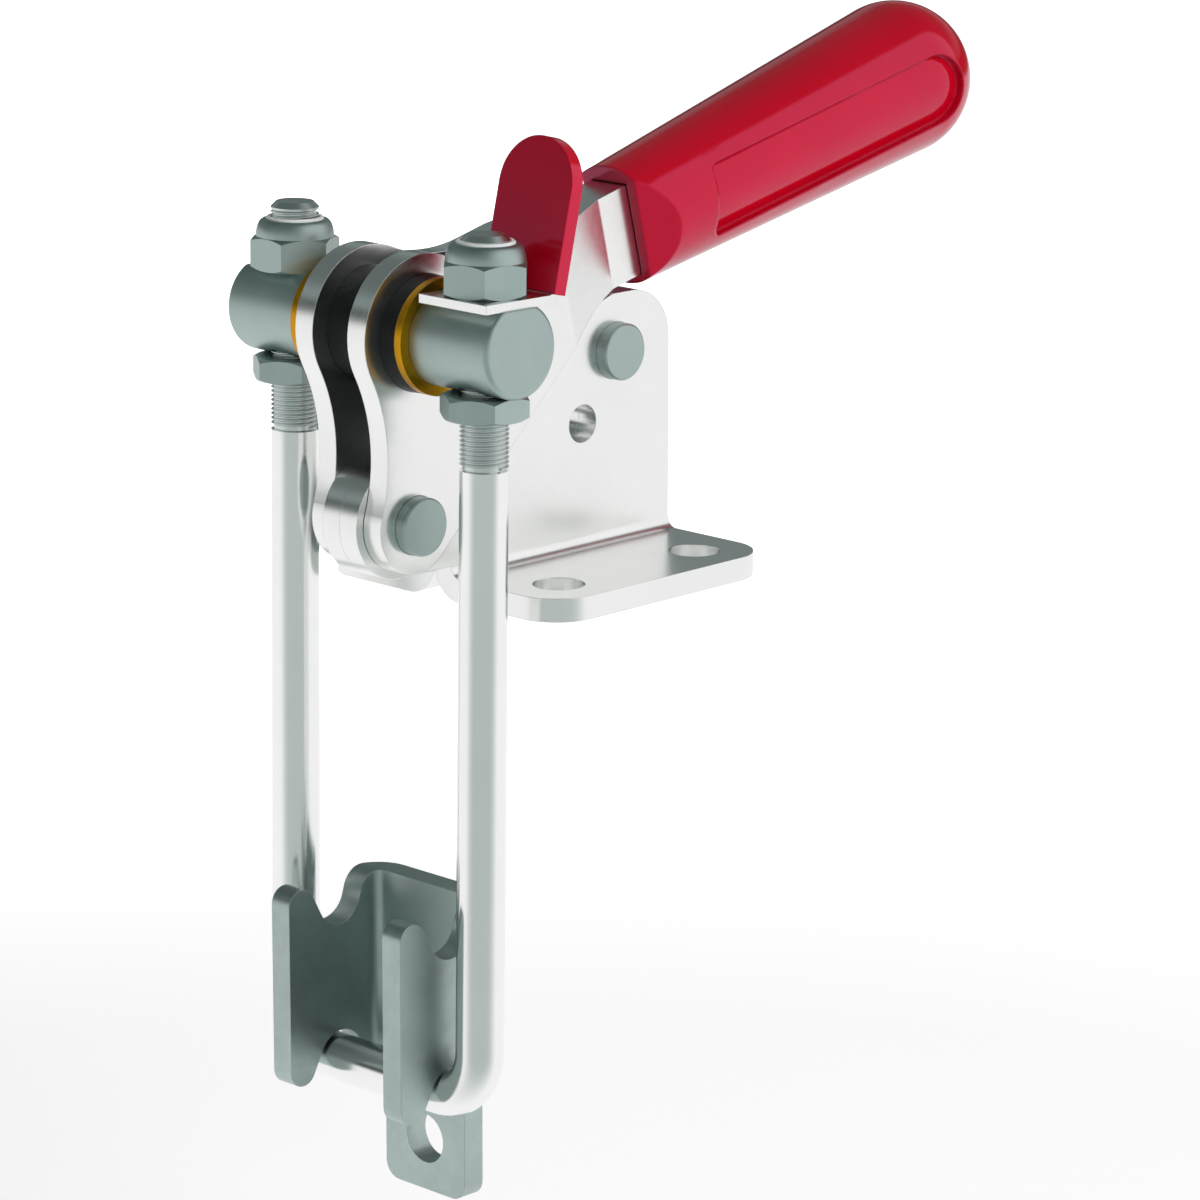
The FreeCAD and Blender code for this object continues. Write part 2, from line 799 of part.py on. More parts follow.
def u_bolt():
    """One round rod bent to a square U, with chamfered ends for the nuts."""
    body = hung_body("u_bolt")
    half = size("leg_spacing") / 2
    top = size("stud_rise")
    low = -size("rod_drop")
    bend = size("rod_bend_radius")
    route = new_sketch(body, "route", "XZ_Plane")
    edges = [
        line(point(half, top), point(half, low + bend)),
        arc(point(half - bend, low + bend), point(half, low + bend), point(half - bend, low)),
        line(point(half - bend, low), point(bend - half, low)),
        arc(point(bend - half, low + bend), point(bend - half, low), point(-half, low + bend)),
        line(point(-half, low + bend), point(-half, top)),
    ]
    route.addGeometry(edges, False)
    section = new_sketch(body, "section", "XY_Plane", offset="dims.stud_rise")
    draw_circle(section, "dims.leg_spacing / 2", "0", "dims.rod_radius")
    doc.recompute()
    rod = body.newObject("PartDesign::AdditivePipe", "u_bolt_rod")
    rod.Profile = section
    rod.Spine = route
    doc.recompute()
    tops = edges_where(
        rod, lambda edge, middle: edge.Closed and abs(middle.z - top) < NEARLY_LEVEL
    )
    dress(body, "Chamfer", rod, tops, "Size", "dims.rod_end_chamfer")
    return body


def nut_body(name, side, seat, turn):
    """A body with its origin at a nut's seat, turned about its leg."""
    body = doc.addObject("PartDesign::Body", name)
    body.Label = name
    lean = FreeCAD.Rotation(AXIS_X, -size("rod_lean_angle"))
    spin = FreeCAD.Rotation(AXIS_Z, size(turn))
    seat_point = FreeCAD.Vector(side * size("leg_spacing") / 2, 0, size_of(seat))
    trunnion = FreeCAD.Vector(0, size_of(TRUNNION_Y), size_of(TRUNNION_Z))
    body.Placement = FreeCAD.Placement(trunnion + lean.multVec(seat_point), lean.multiply(spin))
    return body


def hex_blank(body, profile, height):
    """Turns a nut's blank from its half profile and mills the six flats."""
    blank = new_sketch(body, "half_section", "XZ_Plane")
    draw(blank, rounded(profile))
    revolve(body, blank, "V_Axis")
    flat = new_sketch(body, "flat", "XY_Plane")
    draw_box(
        flat,
        "-dims.nut_across_flats",
        "dims.nut_across_flats",
        "dims.nut_across_flats / 2",
        "dims.nut_across_flats",
    )
    milled = cut_to(body, flat, height, backwards=True)
    pattern = body.newObject("PartDesign::PolarPattern", f"{body.Name}_flats")
    pattern.Originals = [milled]
    upright = next(item for item in body.Origin.OriginFeatures if item.Role == "Z_Axis")
    pattern.Axis = (upright, [""])
    pattern.Angle = 2 * HALF_TURN
    pattern.Occurrences = HEX_SIDES
    body.Tip = pattern
    doc.recompute()


def nut_corner_radius():
    return size("nut_across_flats") / math.sqrt(3)


def locknut(side_name, seat):
    """A hexagon locknut with a domed collar that holds a plastic ring."""
    side = SIDES[side_name]
    body = nut_body(f"locknut_{side_name}", side, seat, f"{side_name}_locknut_angle")
    bore = size("rod_radius") + size("fixed_clearance")
    corner = nut_corner_radius()
    edge = size("nut_edge")
    hexagon = size("nut_hex_height")
    total = size("nut_total_height")
    collar = size("nut_collar_radius")
    dome_radius = size("nut_dome_radius")
    pocket = size("insert_outer_radius")
    lip = size("insert_lip")
    insert_top = total - lip
    insert_bottom = insert_top - size("insert_height")
    chamfer = corner - size("nut_across_flats") / 2
    hex_blank(
        body,
        [
            (bore + edge / 2, 0, 0),
            (corner - chamfer, 0, 0),
            (corner, edge, 0),
            (corner, hexagon - edge, 0),
            (collar, hexagon, 0),
            (collar, total, dome_radius),
            (pocket - lip, total, 0),
            (pocket, insert_top, 0),
            (pocket, insert_bottom, 0),
            (bore, insert_bottom, 0),
            (bore, edge / 2, 0),
        ],
        "dims.nut_hex_height",
    )
    return body


def locknut_insert(side_name, seat):
    """The plastic ring held under the locknut's lip."""
    side = SIDES[side_name]
    body = nut_body(f"locknut_insert_{side_name}", side, seat, f"{side_name}_locknut_angle")
    bore = size("rod_radius") + size("fixed_clearance")
    outer = size("insert_outer_radius") - size("fixed_clearance")
    top = size("nut_total_height") - size("insert_lip")
    low = top - size("insert_height") + size("fixed_clearance")
    ring = new_sketch(body, "half_section", "XZ_Plane")
    draw(ring, rounded([(bore, low, 0), (outer, low, 0), (outer, top, 0), (bore, top, 0)]))
    revolve(body, ring, "V_Axis")
    return body


def jam_nut(side_name):
    """A thin hexagon nut under the trunnion."""
    seat = "-dims.trunnion_radius - dims.jam_nut_gap - dims.jam_nut_height"
    side = SIDES[side_name]
    body = nut_body(f"jam_nut_{side_name}", side, seat, f"{side_name}_jam_nut_angle")
    bore = size("rod_radius") + size("fixed_clearance")
    corner = nut_corner_radius()
    edge = size("nut_edge")
    height = size("jam_nut_height")
    chamfer = corner - size("nut_across_flats") / 2
    hex_blank(
        body,
        [
            (bore + edge / 2, 0, 0),
            (corner - chamfer, 0, 0),
            (corner, edge, 0),
            (corner, height - edge, 0),
            (corner - chamfer, height, 0),
            (bore + edge / 2, height, 0),
            (bore, height - edge / 2, 0),
            (bore, edge / 2, 0),
        ],
        "dims.jam_nut_height",
    )
    return body


# Thumb lever


def lever_bend():
    """Where the lever's strip turns upright: centre of the bend and its two radii."""
    inner = size("lever_bend_radius")
    thickness = size("lever_thickness")
    centre = point(size("lever_rear"), size("trunnion_flat_height") + thickness + inner)
    return centre, inner, inner + thickness


def thumb_lever():
    """The steel strip under the right locknut, bent up behind it with a round top."""
    body = hung_body("thumb_lever")
    centre, inner, outer = lever_bend()
    flat = size("trunnion_flat_height")
    thickness = size("lever_thickness")
    lean = size("lever_lean_angle")
    up = polar(ORIGIN, 1, RIGHT_ANGLE - lean)
    front = polar(centre, inner, -lean)
    rear = polar(centre, outer, -lean)
    nose = -size("lever_front")
    reach = size("lever_rise")
    strip = new_sketch(body, "strip", "YZ_Plane", offset=LEVER_START)
    draw(strip, [
        line(point(nose, flat), point(centre.x, flat)),
        turned_arc(centre, outer, -RIGHT_ANGLE, -lean),
        line(rear, rear + up * reach),
        line(rear + up * reach, front + up * reach),
        line(front + up * reach, front),
        turned_arc(centre, inner, -lean, -RIGHT_ANGLE),
        line(point(centre.x, flat + thickness), point(nose, flat + thickness)),
        line(point(nose, flat + thickness), point(nose, flat)),
    ])
    blank = pad(body, strip, "dims.lever_width")
    round_top(body, blank, "dims.lever_width / 2 - dims.fixed_clearance")
    hole = new_sketch(body, "hole", "XY_Plane")
    draw_circle(hole, "dims.leg_spacing / 2", "0", "dims.rod_radius + dims.rod_hole_gap")
    cut_through(body, hole)
    return body


LEVER_START = "dims.leg_spacing / 2 - dims.lever_width / 2"


def round_top(body, feature, radius):
    """Rounds both upper corners of the upright part to a half circle."""
    highest = max(vertex.Point.z for vertex in feature.Shape.Vertexes)
    lean = math.radians(size("lever_lean_angle"))
    through = FreeCAD.Vector(0, math.cos(lean), -math.sin(lean))
    corners = edges_where(
        feature,
        lambda edge, middle: middle.z > highest - size("lever_thickness")
        and abs(edge.tangentAt(edge.FirstParameter).dot(through)) > NEARLY_PARALLEL,
    )
    return dress(body, "Fillet", feature, corners, "Radius", radius)


def lever_face(foot, extra):
    """The upright part seen from the front, from its foot to its round top, grown by extra."""
    half = size("lever_width") / 2 + extra
    middle = size("leg_spacing") / 2
    top = size("lever_rise") + extra
    centre = point(middle, top - half)
    return [
        line(point(middle - half, foot), point(middle + half, foot)),
        line(point(middle + half, foot), polar(centre, half, 0)),
        turned_arc(centre, half, 0, HALF_TURN),
        line(polar(centre, half, HALF_TURN), point(middle - half, foot)),
    ]


def thumb_lever_coating():
    """The red plastic coat dipped over the upright part of the lever."""
    above = "(dims.trunnion_flat_height + dims.lever_thickness + dims.lever_bend_radius)"
    body = new_body(
        "thumb_lever_coating",
        tilt="-(dims.lever_lean_angle + dims.rod_lean_angle)",
        lift=(
            f"{TRUNNION_Y} + dims.lever_rear * cos(dims.rod_lean_angle * 1deg)"
            f" + {above} * sin(dims.rod_lean_angle * 1deg)",
            f"{TRUNNION_Z} - dims.lever_rear * sin(dims.rod_lean_angle * 1deg)"
            f" + {above} * cos(dims.rod_lean_angle * 1deg)",
        ),
    )
    middle = "-(dims.lever_bend_radius + dims.lever_thickness / 2)"
    coat = new_sketch(body, "coat", "XZ_Plane", offset=middle)
    draw(coat, lever_face(size("coating_start"), size("coating_thickness")))
    pad(body, coat, "dims.lever_thickness + 2 * dims.coating_thickness", both_ways=True)
    steel = new_sketch(body, "steel", "XZ_Plane", offset=middle)
    draw(steel, lever_face(0, size("fixed_clearance")))
    cut_to(body, steel, "dims.lever_thickness + dims.fixed_clearance", both_ways=True)
    inner = size("lever_bend_radius") - size("fixed_clearance")
    outer = size("lever_bend_radius") + size("lever_thickness") + size("fixed_clearance")
    bend = new_sketch(body, "bend", "YZ_Plane", offset="dims.leg_spacing / 2")
    draw(bend, [
        line(point(inner, 0), point(outer, 0)),
        turned_arc(ORIGIN, outer, 0, -RIGHT_ANGLE),
        line(point(0, -outer), point(0, -inner)),
        turned_arc(ORIGIN, inner, -RIGHT_ANGLE, 0),
    ])
    cut_to(body, bend, "dims.lever_width + dims.fixed_clearance", both_ways=True)
    return body


# Latch plate

BAR_Y = f"{TRUNNION_Y} - dims.rod_drop * sin(dims.rod_lean_angle * 1deg)"
BAR_Z = f"{TRUNNION_Z} - dims.rod_drop * cos(dims.rod_lean_angle * 1deg)"


def crossing_tangent(first, first_radius, second, second_radius, upward):
    """The line that touches two circles and crosses between them: its two points."""
    span = second - first
    heading = math.degrees(math.atan2(span.y, span.x))
    swing = math.degrees(math.acos((first_radius + second_radius) / span.Length))
    turn = heading + (swing if upward else -swing)
    return polar(first, first_radius, turn), polar(second, second_radius, turn + HALF_TURN)


def notch_outline(level, up):
    """One open notch in an arm: round finger tip, round floor and round rear shoulder."""
    floor_centre = point(size("notch_set_back"), level - up * size("notch_inset"))
    floor_radius = size("rod_radius") + size("notch_gap")
    tip_radius = size("finger_tip_radius")
    shoulder_radius = size("shoulder_radius")
    tip = point(tip_radius - size("latch_finger_reach"), level - up * tip_radius)
    shoulder = point(size("shoulder_reach"), level - up * shoulder_radius)
    tip_end, floor_start = crossing_tangent(tip, tip_radius, floor_centre, floor_radius, up > 0)
    shoulder_start, floor_end = crossing_tangent(
        shoulder, shoulder_radius, floor_centre, floor_radius, up < 0
    )
    front = point(tip.x - tip_radius, tip.y)
    outside = up * floor_radius
    floor_low = polar(floor_centre, floor_radius, -up * RIGHT_ANGLE)
    return [
        arc(tip, front, point(tip.x, level)),
        arc(tip, point(tip.x, level), tip_end),
        line(tip_end, floor_start),
        arc(floor_centre, floor_start, floor_low),
        arc(floor_centre, floor_low, floor_end),
        line(floor_end, shoulder_start),
        arc(shoulder, shoulder_start, point(shoulder.x, level)),
        line(point(shoulder.x, level), point(shoulder.x, level + outside)),
        line(point(shoulder.x, level + outside), point(front.x, level + outside)),
        line(point(front.x, level + outside), front),
    ]


def latch_plate():
    """The keeper: a strip bent to a channel, with notched arms and a tab with a hole."""
    body = new_body("latch_plate", lift=(BAR_Y, BAR_Z))
    thickness = size("latch_thickness")
    width = size("latch_half_width")
    front = -size("latch_finger_reach")
    rear = size("latch_back_reach")
    inner = size("latch_bend_radius")
    outer = inner + thickness
    low = -size("notch_inset")
    top = low + size("latch_height")
    channel = new_sketch(body, "channel", "XY_Plane", offset="-dims.notch_inset")
    draw(channel, rounded([
        (width, front, 0),
        (width, rear, outer),
        (-width, rear, outer),
        (-width, front, 0),
        (thickness - width, front, 0),
        (thickness - width, rear - thickness, inner),
        (width - thickness, rear - thickness, inner),
        (width - thickness, front, 0),
    ]))
    pad(body, channel, "dims.latch_height")
    for name, level, up in (("upper_notch", top, 1), ("lower_notch", low, -1)):
        notch = new_sketch(body, name, "YZ_Plane")
        draw(notch, notch_outline(level, up))
        cut_through(body, notch)
    tab = new_sketch(body, "tab", "XZ_Plane", offset="-dims.latch_back_reach")
    half = size("tab_half_width")
    corner = size("tab_corner_radius")
    draw(tab, rounded([
        (-half, low, 0),
        (-half, low - size("tab_drop"), corner),
        (half, low - size("tab_drop"), corner),
        (half, low, 0),
    ]))
    pad(body, tab, "dims.latch_thickness")
    hole = new_sketch(body, "tab_hole", "XZ_Plane")
    draw_circle(hole, "0", "-dims.notch_inset - dims.tab_hole_drop", "dims.tab_hole_radius")
    cut_through(body, hole)
    return body


# Build

NUT_SEATS = {
    "left": "dims.trunnion_flat_height",
    "right": "dims.trunnion_flat_height + dims.lever_thickness",
}


def build():
    parts = []
    for side_name in SIDES:
        parts.append(base_plate(side_name))
        parts.append(handle_plate(side_name))
        parts.append(bushing(side_name))
        parts.append(locknut(side_name, NUT_SEATS[side_name]))
        parts.append(locknut_insert(side_name, NUT_SEATS[side_name]))
        parts.append(jam_nut(side_name))
    parts.append(pin(
        "pivot_pin",
        "dims.pivot_along",
        "dims.pivot_height",
        "dims.pivot_radius",
        "dims.pivot_half_length",
    ))
    parts.append(pin(
        "base_rivet",
        "dims.rivet_along",
        "dims.rivet_height",
        "dims.rivet_radius",
        "dims.rivet_half_length",
    ))
    parts.append(handle_grip())
    parts.append(pivot_sleeve())
    parts.append(trunnion_bar())
    parts.append(u_bolt())
    parts.append(thumb_lever())
    parts.append(thumb_lever_coating())
    parts.append(latch_plate())
    return parts


def check(parts):
    """Stops on any failed object, and on any part that is empty or not a valid solid."""
    doc.recompute()
    for item in doc.Objects:
        if "Invalid" in item.State or "Error" in item.State:
            raise RuntimeError(f"{item.Name} failed: {item.State}")
    for part in parts:
        if part.Shape.isNull() or not part.Shape.isValid() or not part.Shape.Solids:
            raise RuntimeError(f"{part.Label} has no valid solid")


parts = build()
check(parts)
os.makedirs("parts", exist_ok=True)
for part in parts:
    part.Shape.exportStep(f"parts/{part.Label}.step")
    print(part.Label, round(part.Shape.Volume, 1), len(part.Shape.Solids))
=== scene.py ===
import math

import bpy
from mathutils import Matrix, Vector


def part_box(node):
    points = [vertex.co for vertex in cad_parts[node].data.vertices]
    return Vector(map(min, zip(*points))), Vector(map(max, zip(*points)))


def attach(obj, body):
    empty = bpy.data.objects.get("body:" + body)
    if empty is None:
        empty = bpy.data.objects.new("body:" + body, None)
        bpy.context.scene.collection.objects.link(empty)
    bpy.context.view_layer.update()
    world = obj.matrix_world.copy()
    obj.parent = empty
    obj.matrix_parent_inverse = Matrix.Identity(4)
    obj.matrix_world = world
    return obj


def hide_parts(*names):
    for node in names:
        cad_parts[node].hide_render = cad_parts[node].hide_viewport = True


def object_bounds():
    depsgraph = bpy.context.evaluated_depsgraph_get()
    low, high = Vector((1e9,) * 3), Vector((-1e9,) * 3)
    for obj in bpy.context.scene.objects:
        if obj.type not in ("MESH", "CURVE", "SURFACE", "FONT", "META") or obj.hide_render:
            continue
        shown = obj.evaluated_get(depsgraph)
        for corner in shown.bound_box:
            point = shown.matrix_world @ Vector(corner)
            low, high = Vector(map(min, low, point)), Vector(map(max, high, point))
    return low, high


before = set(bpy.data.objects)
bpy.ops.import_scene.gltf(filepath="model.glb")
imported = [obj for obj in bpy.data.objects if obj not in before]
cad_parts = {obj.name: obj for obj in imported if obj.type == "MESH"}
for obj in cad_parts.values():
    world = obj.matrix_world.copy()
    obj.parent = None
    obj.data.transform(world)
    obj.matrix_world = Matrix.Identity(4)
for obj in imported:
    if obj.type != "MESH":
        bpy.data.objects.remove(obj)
cad_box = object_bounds()


# Base
# Two flanged plates stand back to back and carry the whole clamp. Each is pressed from 4 mm
# steel sheet and bright zinc plated, and four screws through the flanges hold it down.

zinc_light = (0.885, 0.89, 0.88, 1.0)
zinc_shade = (0.86, 0.87, 0.86, 1.0)
zinc_roughness = (0.23, 0.27)
zinc_cloud_scale = 90.0
plate_edge_radius = 0.0002
plate_edge_samples = 6
plate_grain_size = (900.0, 500.0, 900.0)
plate_grain_detail = 2.0
plate_grain_depth = 0.0000001
noise_range = (0.3, 0.7)
tone_stops = (0.35, 0.65)


def new_finish(name):
    """A new finish with its nodes, its links, its shader and the object's own coordinates."""
    finish = bpy.data.materials.new(name)
    finish.use_nodes = True
    nodes = finish.node_tree.nodes
    shader = nodes["Principled BSDF"]
    place = nodes.new("ShaderNodeTexCoord").outputs["Object"]
    return finish, nodes, finish.node_tree.links, shader, place


def blotches(nodes, links, place, scale, detail=3.0):
    """Soft cloudy variation, from 0 to 1, about as large as one over the scale in metres."""
    noise = nodes.new("ShaderNodeTexNoise")
    noise.inputs["Scale"].default_value = scale
    noise.inputs["Detail"].default_value = detail
    links.new(place, noise.inputs["Vector"])
    return noise.outputs["Fac"]


def spread(nodes, links, value, low, high):
    """The value's middle range, stretched to run from low to high."""
    ramp = nodes.new("ShaderNodeMapRange")
    ramp.inputs["From Min"].default_value, ramp.inputs["From Max"].default_value = noise_range
    ramp.inputs["To Min"].default_value = low
    ramp.inputs["To Max"].default_value = high
    links.new(value, ramp.inputs["Value"])
    return ramp.outputs["Result"]


def tint(nodes, links, value, dark, light):
    """A colour between two tones of one finish."""
    ramp = nodes.new("ShaderNodeValToRGB")
    for stop, position, tone in zip(ramp.color_ramp.elements, tone_stops, (dark, light)):
        stop.position = position
        stop.color = tone
    links.new(value, ramp.inputs["Fac"])
    return ramp.outputs["Color"]


def stretched(nodes, links, place, scale):
    """The object's coordinates, stretched so that a pattern on them turns into grain."""
    mapping = nodes.new("ShaderNodeMapping")
    mapping.inputs["Scale"].default_value = scale
    links.new(place, mapping.inputs["Vector"])
    return mapping.outputs["Vector"]


def relief(nodes, links, shader, height, depth, edge_radius):
    """Raises the surface by a height of 0 to 1 times the depth, with softened edges below it."""
    bump = nodes.new("ShaderNodeBump")
    bump.inputs["Distance"].default_value = depth
    links.new(height, bump.inputs["Height"])
    if edge_radius:
        soft_edge = nodes.new("ShaderNodeBevel")
        soft_edge.samples = plate_edge_samples
        soft_edge.inputs["Radius"].default_value = edge_radius
        links.new(soft_edge.outputs["Normal"], bump.inputs["Normal"])
    links.new(bump.outputs["Normal"], shader.inputs["Normal"])


def give(node_name, finish):
    """Puts a finish on a CAD node."""
    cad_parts[node_name].material_slots[0].material = finish


bright_zinc, nodes, links, shader, place = new_finish("bright_zinc_plate")
clouds = blotches(nodes, links, place, zinc_cloud_scale)
brushed = stretched(nodes, links, place, plate_grain_size)
grain = blotches(nodes, links, brushed, 1.0, plate_grain_detail)
links.new(tint(nodes, links, clouds, zinc_shade, zinc_light), shader.inputs["Base Color"])
links.new(spread(nodes, links, grain, *zinc_roughness), shader.inputs["Roughness"])
shader.inputs["Metallic"].default_value = 1.0
relief(nodes, links, shader, grain, plate_grain_depth, plate_edge_radius)
for base_node in ("base_plate_left", "base_plate_right"):
    give(base_node, bright_zinc)


# Pivot pin and rivet
# Two plain round pins of grey plated steel, turned to length and pressed into the webs. Their
# faces keep fine rings from the lathe.

satin_light = (0.465, 0.56, 0.545, 1.0)
satin_shade = (0.425, 0.515, 0.5, 1.0)
satin_roughness = (0.44, 0.52)
turning_depth = 0.0000008
turning_pitch = 0.0003
turning_wobble = 0.6
satin_cloud_scale = 160.0
wave_rate = 20.0


def turned_finish(name, centre):
    """Grey plated steel with lathe rings about an axis along X through a centre."""
    finish, nodes, links, shader, place = new_finish(name)
    mapping = nodes.new("ShaderNodeMapping")
    mapping.inputs["Location"].default_value = -centre
    links.new(place, mapping.inputs["Vector"])
    rings = nodes.new("ShaderNodeTexWave")
    rings.wave_type = "RINGS"
    rings.rings_direction = "X"
    rings.inputs["Scale"].default_value = 2 * math.pi / (wave_rate * turning_pitch)
    rings.inputs["Distortion"].default_value = turning_wobble
    rings.inputs["Detail"].default_value = 1.0
    links.new(mapping.outputs["Vector"], rings.inputs["Vector"])
    clouds = blotches(nodes, links, place, satin_cloud_scale)
    links.new(tint(nodes, links, clouds, satin_shade, satin_light), shader.inputs["Base Color"])
    links.new(spread(nodes, links, clouds, *satin_roughness), shader.inputs["Roughness"])
    shader.inputs["Metallic"].default_value = 1.0
    relief(nodes, links, shader, rings.outputs["Fac"], turning_depth, plate_edge_radius)
    return finish


for pin_node in ("pivot_pin", "base_rivet"):
    pin_low, pin_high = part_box(pin_node)
    give(pin_node, turned_finish(pin_node + "_satin", (pin_low + pin_high) / 2))


# Handle plates
# The lever's two side plates are blanked from the same zinc plated sheet as the base. They are
# jogged inwards behind the base, so that they meet inside the grip.

for handle_node in ("handle_plate_left", "handle_plate_right"):
    give(handle_node, bright_zinc)


# Grip
# A hand-filling handle of glossy red vinyl, moulded over the tang. A shallow panel is sunk into
# each side, and the mouth is cut back to two slanted faces.

vinyl_red = (0.54, 0.0008, 0.014, 1.0)
vinyl_deep_red = (0.5, 0.0006, 0.011, 1.0)
vinyl_glint = (1.0, 0.45, 1.0, 1.0)
vinyl_roughness = (0.1, 0.13)
vinyl_gloss = 0.65
vinyl_cloud_scale = 45.0
vinyl_skin_scale = 500.0
vinyl_skin_detail = 2.0
vinyl_skin_depth = 0.0000002
grip_edge_radius = 0.0007


def red_vinyl_finish(name, edge_radius):
    """Glossy red moulded vinyl with a faint skin."""
    finish, nodes, links, shader, place = new_finish(name)
    clouds = blotches(nodes, links, place, vinyl_cloud_scale)
    skin = blotches(nodes, links, place, vinyl_skin_scale, vinyl_skin_detail)
    links.new(tint(nodes, links, clouds, vinyl_deep_red, vinyl_red), shader.inputs["Base Color"])
    links.new(spread(nodes, links, skin, *vinyl_roughness), shader.inputs["Roughness"])
    shader.inputs["Specular IOR Level"].default_value = vinyl_gloss
    shader.inputs["Specular Tint"].default_value = vinyl_glint
    relief(nodes, links, shader, skin, vinyl_skin_depth, edge_radius)
    return finish


give("handle_grip", red_vinyl_finish("grip_vinyl", grip_edge_radius))


# Tube and bushings
# A black tube joins the handle plates at the top. A flanged bronze bushing is pushed into each
# end of it, and the trunnion turns in them.

tube_black = (0.004, 0.006, 0.006, 1.0)
tube_worn = (0.009, 0.012, 0.0125, 1.0)
tube_roughness = (0.36, 0.5)
tube_gloss = 0.2
tube_cloud_scale = 220.0
tube_skin_scale = 1500.0
tube_skin_detail = 4.0
tube_skin_depth = 0.00012

black_tube, nodes, links, shader, place = new_finish("black_tube_skin")
clouds = blotches(nodes, links, place, tube_cloud_scale)
skin = blotches(nodes, links, place, tube_skin_scale, tube_skin_detail)
links.new(tint(nodes, links, clouds, tube_black, tube_worn), shader.inputs["Base Color"])
links.new(spread(nodes, links, clouds, *tube_roughness), shader.inputs["Roughness"])
shader.inputs["Specular IOR Level"].default_value = tube_gloss
relief(nodes, links, shader, skin, tube_skin_depth, None)
give("pivot_sleeve", black_tube)

bronze_light = (0.68, 0.34, 0.012, 1.0)
bronze_shade = (0.6, 0.28, 0.008, 1.0)
bronze_roughness = (0.28, 0.4)
bronze_cloud_scale = 260.0
bushing_edge_radius = 0.0001

bronze, nodes, links, shader, place = new_finish("bushing_bronze")
clouds = blotches(nodes, links, place, bronze_cloud_scale)
links.new(tint(nodes, links, clouds, bronze_shade, bronze_light), shader.inputs["Base Color"])
links.new(spread(nodes, links, clouds, *bronze_roughness), shader.inputs["Roughness"])
shader.inputs["Metallic"].default_value = 1.0
relief(nodes, links, shader, clouds, turning_depth, bushing_edge_radius)
for bushing_node in ("bushing_left", "bushing_right"):
    give(bushing_node, bronze)


# Trunnion
# The cross bar that turns in the bushings and carries both legs. It is a turned bar of grey
# plated steel with a milled flat and a drilled hole at each end.

trunnion_low, trunnion_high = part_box("trunnion_bar")
trunnion_centre = (trunnion_low + trunnion_high) / 2
satin_trunnion = turned_finish("trunnion_satin", trunnion_centre)
give("trunnion_bar", satin_trunnion)


# U-bolt
# One 8 mm steel rod, bent to a square U and bright zinc plated. Both ends are turned to a
# chamfered tip, and a fine thread is rolled on them for the nuts.

rod_radius = 0.004
rod_lean = math.radians(0.84)
rod_sides = 48
leg_place = 0.02225
bend_radius = 0.009
bend_steps = 18
stud_top = 0.01785
rod_foot = 0.1271
thread_foot = -0.0202
thread_pitch = 0.00075
thread_root = 0.00354
tooth_bite = 0.00006
thread_runout = 0.0002
tip_chamfer = 0.0009
tip_band = 0.00035
tooth_fill = 0.9
tooth_crest = 0.16
same_point = 0.000001
smooth_angle = math.radians(28)

bpy.ops.object.select_all(action="DESELECT")
bpy.ops.mesh.primitive_circle_add(
    vertices=rod_sides, radius=rod_radius, location=(leg_place, 0, thread_foot)
)
u_bolt = bpy.context.object
u_bolt.name = "threaded_u_bolt"
bpy.ops.object.mode_set(mode="EDIT")
bpy.ops.mesh.select_all(action="SELECT")


def draw_out(x, z):
    """Extends the rod's open end in a straight line."""
    bpy.ops.mesh.extrude_region_move(TRANSFORM_OT_translate={"value": (x, 0, z)})


def step_in(radius, new_radius):
    """Narrows or widens the rod's open end about its own middle."""
    bpy.ops.transform.resize(value=(new_radius / radius, new_radius / radius, 1))


def turn_stud(foot):
    """Forms the core of a stud from the open end upwards: runout, core, tip band, chamfer, face."""
    draw_out(0, thread_runout)
    step_in(rod_radius, thread_root)
    draw_out(0, stud_top - tip_chamfer - tip_band - thread_runout - foot - thread_runout)
    draw_out(0, thread_runout)
    step_in(thread_root, rod_radius)
    draw_out(0, tip_band)
    draw_out(0, tip_chamfer)
    step_in(rod_radius, rod_radius - tip_chamfer)
    bpy.ops.mesh.edge_face_add()


straight = rod_foot - bend_radius + thread_foot
draw_out(0, -straight)
bpy.ops.mesh.spin(
    steps=bend_steps,
    angle=-math.pi / 2,
    center=(leg_place - bend_radius, 0, bend_radius - rod_foot),
    axis=(0, 1, 0),
)
draw_out(2 * (bend_radius - leg_place), 0)
bpy.ops.mesh.spin(
    steps=bend_steps,
    angle=-math.pi / 2,
    center=(bend_radius - leg_place, 0, bend_radius - rod_foot),
    axis=(0, 1, 0),
)
draw_out(0, straight)
turn_stud(thread_foot)
bpy.ops.mesh.select_all(action="DESELECT")
bpy.ops.mesh.select_non_manifold()
turn_stud(thread_foot)
bpy.ops.mesh.select_all(action="SELECT")
bpy.ops.mesh.remove_doubles(threshold=same_point)
bpy.ops.mesh.normals_make_consistent(inside=False)
bpy.ops.object.mode_set(mode="OBJECT")


